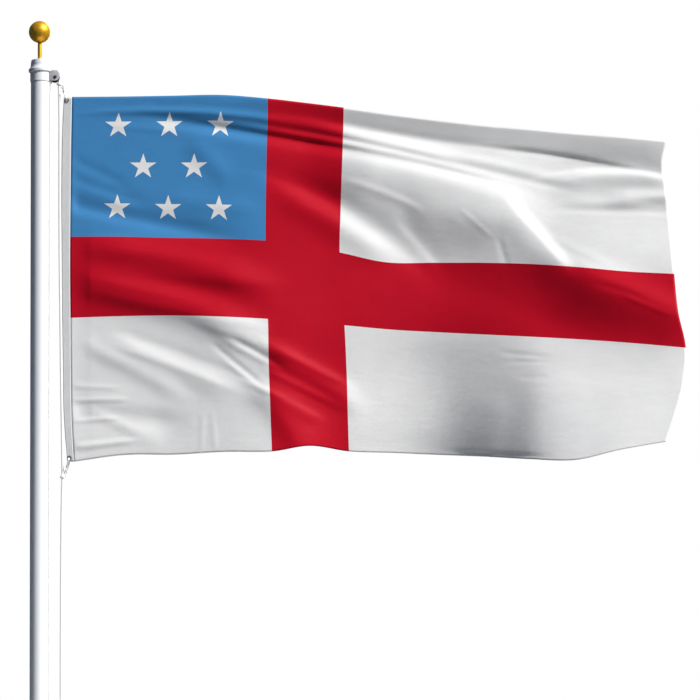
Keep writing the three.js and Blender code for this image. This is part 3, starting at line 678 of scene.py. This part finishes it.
def thread_height(graph, along, down, repeat):
    """The height of a plain weave that repeats over this length, which holds two threads."""
    upright = graph.math("SINE", graph.math("MULTIPLY", along, 2 * math.pi / repeat))
    level = graph.math("SINE", graph.math("MULTIPLY", down, 2 * math.pi / repeat))
    return graph.math("MULTIPLY", upright, level)


def cloth_material():
    """White cloth with a red cross and a blue canton, which holds rows of white stars."""
    graph = Graph("printed_cloth")
    along, down = flat_place(graph)
    width, length = CLOTH_FLAT
    bar_left, bar_right = (share * width for share in CROSS_ALONG[1:3])
    bar_top, bar_bottom = (share * length for share in CROSS_DOWN[1:3])

    def inside(value, low, high):
        return graph.math("MULTIPLY", graph.math("GREATER_THAN", value, low),
                          graph.math("LESS_THAN", value, high))

    cross = graph.math("MAXIMUM", inside(along, bar_left, bar_right), inside(down, bar_top, bar_bottom))
    canton = graph.math("MULTIPLY", graph.math("LESS_THAN", along, bar_left),
                        graph.math("LESS_THAN", down, bar_top))
    stars = star_rows(graph, graph.math("SUBTRACT", along, bar_left / 2),
                      graph.math("SUBTRACT", down, bar_top / 2))

    place = object_place(graph)
    cloudy = graph.math("MULTIPLY_ADD", graph.noise(place, 14, 3), 0.12, 0.94)
    canton_color = graph.mix(stars, CLOTH_BLUE, CLOTH_WHITE)
    color = graph.mix(canton, graph.mix(cross, CLOTH_WHITE, CLOTH_RED), canton_color)
    dyed = graph.node("ShaderNodeHueSaturation", {"Color": color, "Value": cloudy}).outputs[0]

    weave = graph.bump(thread_height(graph, along, down, CLOTH_WEAVE), 0.00008, 0.6)
    crumple = graph.bump(graph.noise(place, 38, 4, (0.5, 1, 1.4)), 0.0012, 0.5, weave)
    return graph.finish(Base_Color=dyed, Roughness=0.5, Normal=crumple, Specular_IOR_Level=0.09)


def star_rows(graph, x, y):
    """Five-pointed stars in three staggered rows, from the way across and down from the canton's middle."""
    level = graph.math("ROUND", graph.math("DIVIDE", y, STARS["row"]))
    level = graph.math("MAXIMUM", graph.math("MINIMUM", level, 1), -1)
    middle_row = graph.math("SUBTRACT", 1, graph.math("ABSOLUTE", level))
    shifted = graph.math("MULTIPLY_ADD", middle_row, -STARS["pitch"] / 2, x)
    place = graph.math("ROUND", graph.math("DIVIDE", shifted, STARS["pitch"]))
    across = graph.math("MULTIPLY_ADD", place, -STARS["pitch"], shifted)
    under = graph.math("MULTIPLY_ADD", level, -STARS["row"], y)
    reach = graph.math("MULTIPLY_ADD", middle_row, -STARS["narrower"], STARS["sides"])
    in_rows = graph.math("LESS_THAN", graph.math("ABSOLUTE", x), reach)

    # Half of each point stands for the whole star. Its edge leaves the tip at half the tip's angle.
    half_point, half_tip = math.pi / 5, math.pi / 10
    upward = graph.math("MULTIPLY", under, -1)
    angle = graph.math("PINGPONG", graph.math("ARCTAN2", across, upward), half_point)
    squares = graph.math("ADD", graph.math("POWER", across, 2), graph.math("POWER", upward, 2))
    radius = graph.math("SQRT", squares)
    outward = graph.math("MULTIPLY", radius, graph.math("COSINE", angle))
    past_tip = graph.math("SUBTRACT", outward, STARS["radius"])
    sideways = graph.math("MULTIPLY", radius, graph.math("SINE", angle))
    outside = graph.math("ADD", graph.math("MULTIPLY", past_tip, math.sin(half_tip)),
                         graph.math("MULTIPLY", sideways, math.cos(half_tip)))
    return graph.math("MULTIPLY", in_rows, graph.math("LESS_THAN", outside, 0))


def canvas_material():
    """Doubled canvas with two rows of stitches."""
    graph = Graph("canvas")
    across, down = flat_place(graph)
    place = object_place(graph)
    weave = thread_height(graph, across, down, CANVAS_WEAVE)
    run = graph.math("SINE", graph.math("MULTIPLY", down, 2 * math.pi / STITCH["pitch"]))
    stitch = graph.math("GREATER_THAN", run, -0.5)
    rows = [graph.math("COMPARE", across, where, STITCH["half"]) for where in STITCH["rows"]]
    thread = graph.math("MULTIPLY", stitch, graph.math("MAXIMUM", *rows))
    tint = graph.mix(graph.noise(place, 40, 3), (0.76, 0.76, 0.76, 1), (0.82, 0.82, 0.82, 1))
    color = graph.mix(thread, tint, (0.88, 0.88, 0.88, 1))
    relief = graph.math("ADD", graph.math("MULTIPLY", weave, 0.4), thread)
    return graph.finish(Base_Color=color, Roughness=0.9, Normal=graph.bump(relief, 0.0003))


# Each metal has its colour, its colour where it is worn, its roughness, its grain's depth and, where it
# isn't all metal, how metallic it looks
PAINT = paint_material()
GILT = metal_material("gilt", (0.95, 0.4, 0.01, 1), (1, 0.62, 0.05, 1), 0.42, 0.00001, 0.7)
ALUMINIUM = metal_material("bare_aluminium", (0.72, 0.73, 0.74, 1), (0.82, 0.83, 0.84, 1), 0.4, 0.00003)
GREY = metal_material("grey_metal", (0.43, 0.43, 0.44, 1), (0.5, 0.5, 0.51, 1), 0.6, 0.00004, 0.2)
# Black nylon, which is also put where shade is painted: on the pulley's pin and, in part, on the sheave.
BLACK_NYLON_AND_SHADE = plastic_material("black_nylon", (0.012, 0.012, 0.014, 1), (0.03, 0.03, 0.033, 1))
PLATED = metal_material("plated_steel", (0.46, 0.46, 0.47, 1), (0.58, 0.58, 0.59, 1), 0.35, 0.00002)
# A lighter, less metallic copy of the plated steel: painted light, which makes the hooks look lit white.
PLATED_PAINTED_LIT = metal_material("plated_steel_painted_lit", (0.7, 0.7, 0.71, 1), (0.82, 0.82, 0.83, 1), 0.35, 0.00002, 0.45)
ROPE = rope_material()
CLOTH = cloth_material()
CANVAS = canvas_material()


def dress(piece, material):
    """Gives a piece its material."""
    piece.data.materials.append(material)
    return piece


# The camera

camera = bpy.data.objects.new("camera", bpy.data.cameras.new("camera"))
bpy.context.scene.collection.objects.link(camera)
camera.data.sensor_width = SENSOR
camera.data.lens = SENSOR * CAMERA_AWAY / PHOTO_WIDTH
camera.data.clip_end = 3 * CAMERA_AWAY
forward = Vector((0, math.cos(LOOK_UP), math.sin(LOOK_UP)))
camera.location = Vector(LOOK_AT) - CAMERA_AWAY * forward
camera.rotation_euler = forward.to_track_quat("-Z", "Y").to_euler()
bpy.context.scene.camera = camera

# The halyard, with its knots and hooks

halyard_path = route(HALYARD, ROPE_STEP)
halyard = new_object("halyard_rope", tube_mesh("halyard_rope", halyard_path, ROPE_RADIUS, ROPE_SIDES),
                     "rope", "halyard")
dress(halyard, ROPE)
for end in ("top", "lower"):
    dress(refined(f"{end}_knot", "rope", EDGE_WIDTH["knot"]), ROPE)
    # The hooks take the painted lit copy of the plated steel, and the grommets take the plain one.
    dress(refined(f"{end}_snap_hook", "plated_steel", EDGE_WIDTH["hook"]), PLATED_PAINTED_LIT)
    dress(refined(f"{end}_grommet", "plated_steel", EDGE_WIDTH["hook"]), PLATED)

# The flag

along_shares, down_shares = share_grid(*CLOTH_CELLS)
cloth_x, cloth_z = place_of(along_shares, down_shares)
cloth_points = in_place(cloth_x, cloth_z, stands_out(along_shares, down_shares, cloth_x, cloth_z))
cloth_flat = np.stack([along_shares * CLOTH_FLAT[0], down_shares * CLOTH_FLAT[1]], -1)
cloth = new_object("flag_sheet", sheet_mesh("flag_sheet", cloth_points, CLOTH_THICK, cloth_flat),
                   "printed_cloth", "flag_cloth")
dress(cloth, CLOTH)

heading_share, heading_down = share_grid(*HEADING["cells"])
edge, seam = upright_line("edge", heading_down), upright_line("seam", heading_down)
top, bottom = level_line("top", np.zeros(1)), level_line("bottom", np.zeros(1))
heading_x = edge + (seam - edge) * heading_share
heading_z = top * (1 - heading_down) + bottom * heading_down
heading_points = in_place(heading_x, heading_z, -HEADING["turn"] * (1 - heading_share))
heading_flat = np.stack([heading_share * HEADING["width"] * MM, heading_down * CLOTH_FLAT[1]], -1)
heading = new_object("heading_strip",
                     sheet_mesh("heading_strip", heading_points, HEADING["thick"], heading_flat),
                     "canvas", "heading")
dress(heading, CANVAS)

# The pole and its fittings

def turned(name, outline, slot, node, steps=ROUND_STEPS):
    """A piece turned about Z from its outline, which replaces this CAD node."""
    return new_object(f"{name}_piece", lathe_mesh(name, outline, steps), slot, node)


def truck_outline():
    """The truck from its ceiling down its inside, round the sleeve and the rim, and up the flare."""
    flare = []
    shoulder = TRUCK["top"] - TRUCK["edge"]
    for k in range(FLARE_STEPS + 1):
        angle = math.pi / 2 * k / FLARE_STEPS
        radius = TRUCK["rim_radius"] - (TRUCK["rim_radius"] - TRUCK["top_radius"]) * math.cos(angle)
        flare.append((radius, shoulder - (shoulder - TRUCK["rim_top"]) * math.sin(angle)))
    return [
        (0, TRUCK["ceiling"]),
        (TRUCK["inside"], TRUCK["ceiling"]),
        (TRUCK["inside"], TRUCK["bottom"]),
        (TRUCK["sleeve"], TRUCK["bottom"]),
        (TRUCK["sleeve"], TRUCK["rim_bottom"] - TRUCK["edge"]),
        (TRUCK["rim_radius"], TRUCK["rim_bottom"]),
        *reversed(flare),
        (TRUCK["top_radius"] - TRUCK["edge"], TRUCK["top"]),
        (0, TRUCK["top"]),
    ]


pole = turned("pole", [
    (POLE["bore"], POLE["bottom"]),
    (POLE["radius"], POLE["bottom"]),
    (POLE["radius"], POLE["top"]),
    (POLE["bore"], POLE["top"]),
    (POLE["bore"], POLE["bottom"]),
], "white_paint", "pole_tube")
dress(soften(pole, EDGE_WIDTH["pole"]), PAINT)

foot = turned("foot", [
    (0, 0),
    (POLE["radius"], 0),
    (POLE["radius"], FOOT["disc"]),
    (FOOT["neck"], FOOT["disc"]),
    (FOOT["neck"], FOOT["top"]),
    (0, FOOT["top"]),
], "bare_aluminium", "pole_foot")
dress(soften(foot, EDGE_WIDTH["pole"]), ALUMINIUM)

truck = turned("truck", truck_outline(), "white_paint", "truck_cap")
dress(soften(truck, EDGE_WIDTH["truck"]), PAINT)

collar_top = STEM["bottom"] + STEM["collar"]
stem = turned("stem", [
    (0, STEM["bottom"]),
    (STEM["base"], STEM["bottom"]),
    (STEM["base"], collar_top - STEM["slope"]),
    (STEM["radius"], collar_top),
    (STEM["radius"], STEM["top"]),
    (0, STEM["top"]),
], "gilt", "finial_stem", STEM_STEPS)
dress(soften(stem, EDGE_WIDTH["stem"]), GILT)

ball_outline = []
for k in range(BALL_STEPS + 1):
    angle = math.pi * k / BALL_STEPS
    height = BALL["centre"] - BALL["radius"] * math.cos(angle)
    ball_outline.append((BALL["radius"] * math.sin(angle), height))
ball = turned("ball", ball_outline, "gilt", "finial_ball")
dress(ball, GILT)

for node, slot, material in (
    ("pulley_bracket", "grey_metal", GREY),
    # The sheave is black nylon, and its black also stands in as painted shade for the dark underside of the
    # pulley's housing.
    ("pulley_sheave", "black_nylon", BLACK_NYLON_AND_SHADE),
    # The pin is grey metal, but is drawn black: painted shade for the dark hollow round it.
    ("pulley_pin", "grey_metal", BLACK_NYLON_AND_SHADE),
    ("cleat", "bare_aluminium", ALUMINIUM),
    ("cleat_screw_top", "grey_metal", GREY),
    ("cleat_screw_bottom", "grey_metal", GREY),
):
    dress(refined(node, slot, EDGE_WIDTH["fitting"]), material)

# The floor and the light

floor_corners = [(x * FLOOR_HALF, y * FLOOR_HALF, 0) for x, y in ((-1, -1), (1, -1), (1, 1), (-1, 1))]
floor = bpy.data.objects.new("floor", mesh_from("floor", floor_corners, [(0, 1, 2, 3)], smooth=False))
bpy.context.scene.collection.objects.link(floor)
floor.location.x = LOOK_AT[0]
dress(floor, Graph("floor").finish(Base_Color=FLOOR_COLOR, Roughness=0.9))


def far_lamp(name, look):
    """A lamp so far off that its light comes from one direction. Its angle softens its shadows."""
    lamp = bpy.data.objects.new(name, bpy.data.lights.new(name, "SUN"))
    bpy.context.scene.collection.objects.link(lamp)
    lamp.data.energy = look["strength"]
    lamp.data.angle = look["angle"]
    lamp.rotation_euler = Vector(look["from"]).to_track_quat("Z", "Y").to_euler()


far_lamp("sun", SUN)
far_lamp("fill", FILL)

# The world is white behind the object, and lights it with a sky that is brighter above and to the right
world = bpy.data.worlds.new("studio")
bpy.context.scene.world = world
world.use_nodes = True
nodes, links = world.node_tree.nodes, world.node_tree.links
direction = nodes.new("ShaderNodeTexCoord")
apart = nodes.new("ShaderNodeSeparateXYZ")
links.new(direction.outputs["Generated"], apart.inputs[0])
level = nodes.new("ShaderNodeMapRange")
links.new(apart.outputs[2], level.inputs["Value"])
level.inputs["From Min"].default_value = -1
level.inputs["To Min"].default_value, level.inputs["To Max"].default_value = SKY_STRENGTH
rightward = nodes.new("ShaderNodeMapRange")
links.new(apart.outputs[0], rightward.inputs["Value"])
rightward.inputs["From Min"].default_value, rightward.inputs["From Max"].default_value = SKY_CHANGE
tint = nodes.new("ShaderNodeMix")
tint.data_type = "RGBA"
links.new(rightward.outputs[0], tint.inputs[0])
tint.inputs[6].default_value, tint.inputs[7].default_value = SKY_COLORS
sky = nodes["Background"]
links.new(tint.outputs[2], sky.inputs["Color"])
links.new(level.outputs[0], sky.inputs["Strength"])
backdrop = nodes.new("ShaderNodeBackground")
backdrop.inputs["Color"].default_value = (1, 1, 1, 1)
seen = nodes.new("ShaderNodeLightPath")
choice = nodes.new("ShaderNodeMixShader")
links.new(seen.outputs["Is Camera Ray"], choice.inputs[0])
links.new(sky.outputs[0], choice.inputs[1])
links.new(backdrop.outputs[0], choice.inputs[2])
links.new(choice.outputs[0], nodes["World Output"].inputs["Surface"])
bpy.context.scene.view_settings.view_transform = "Standard"
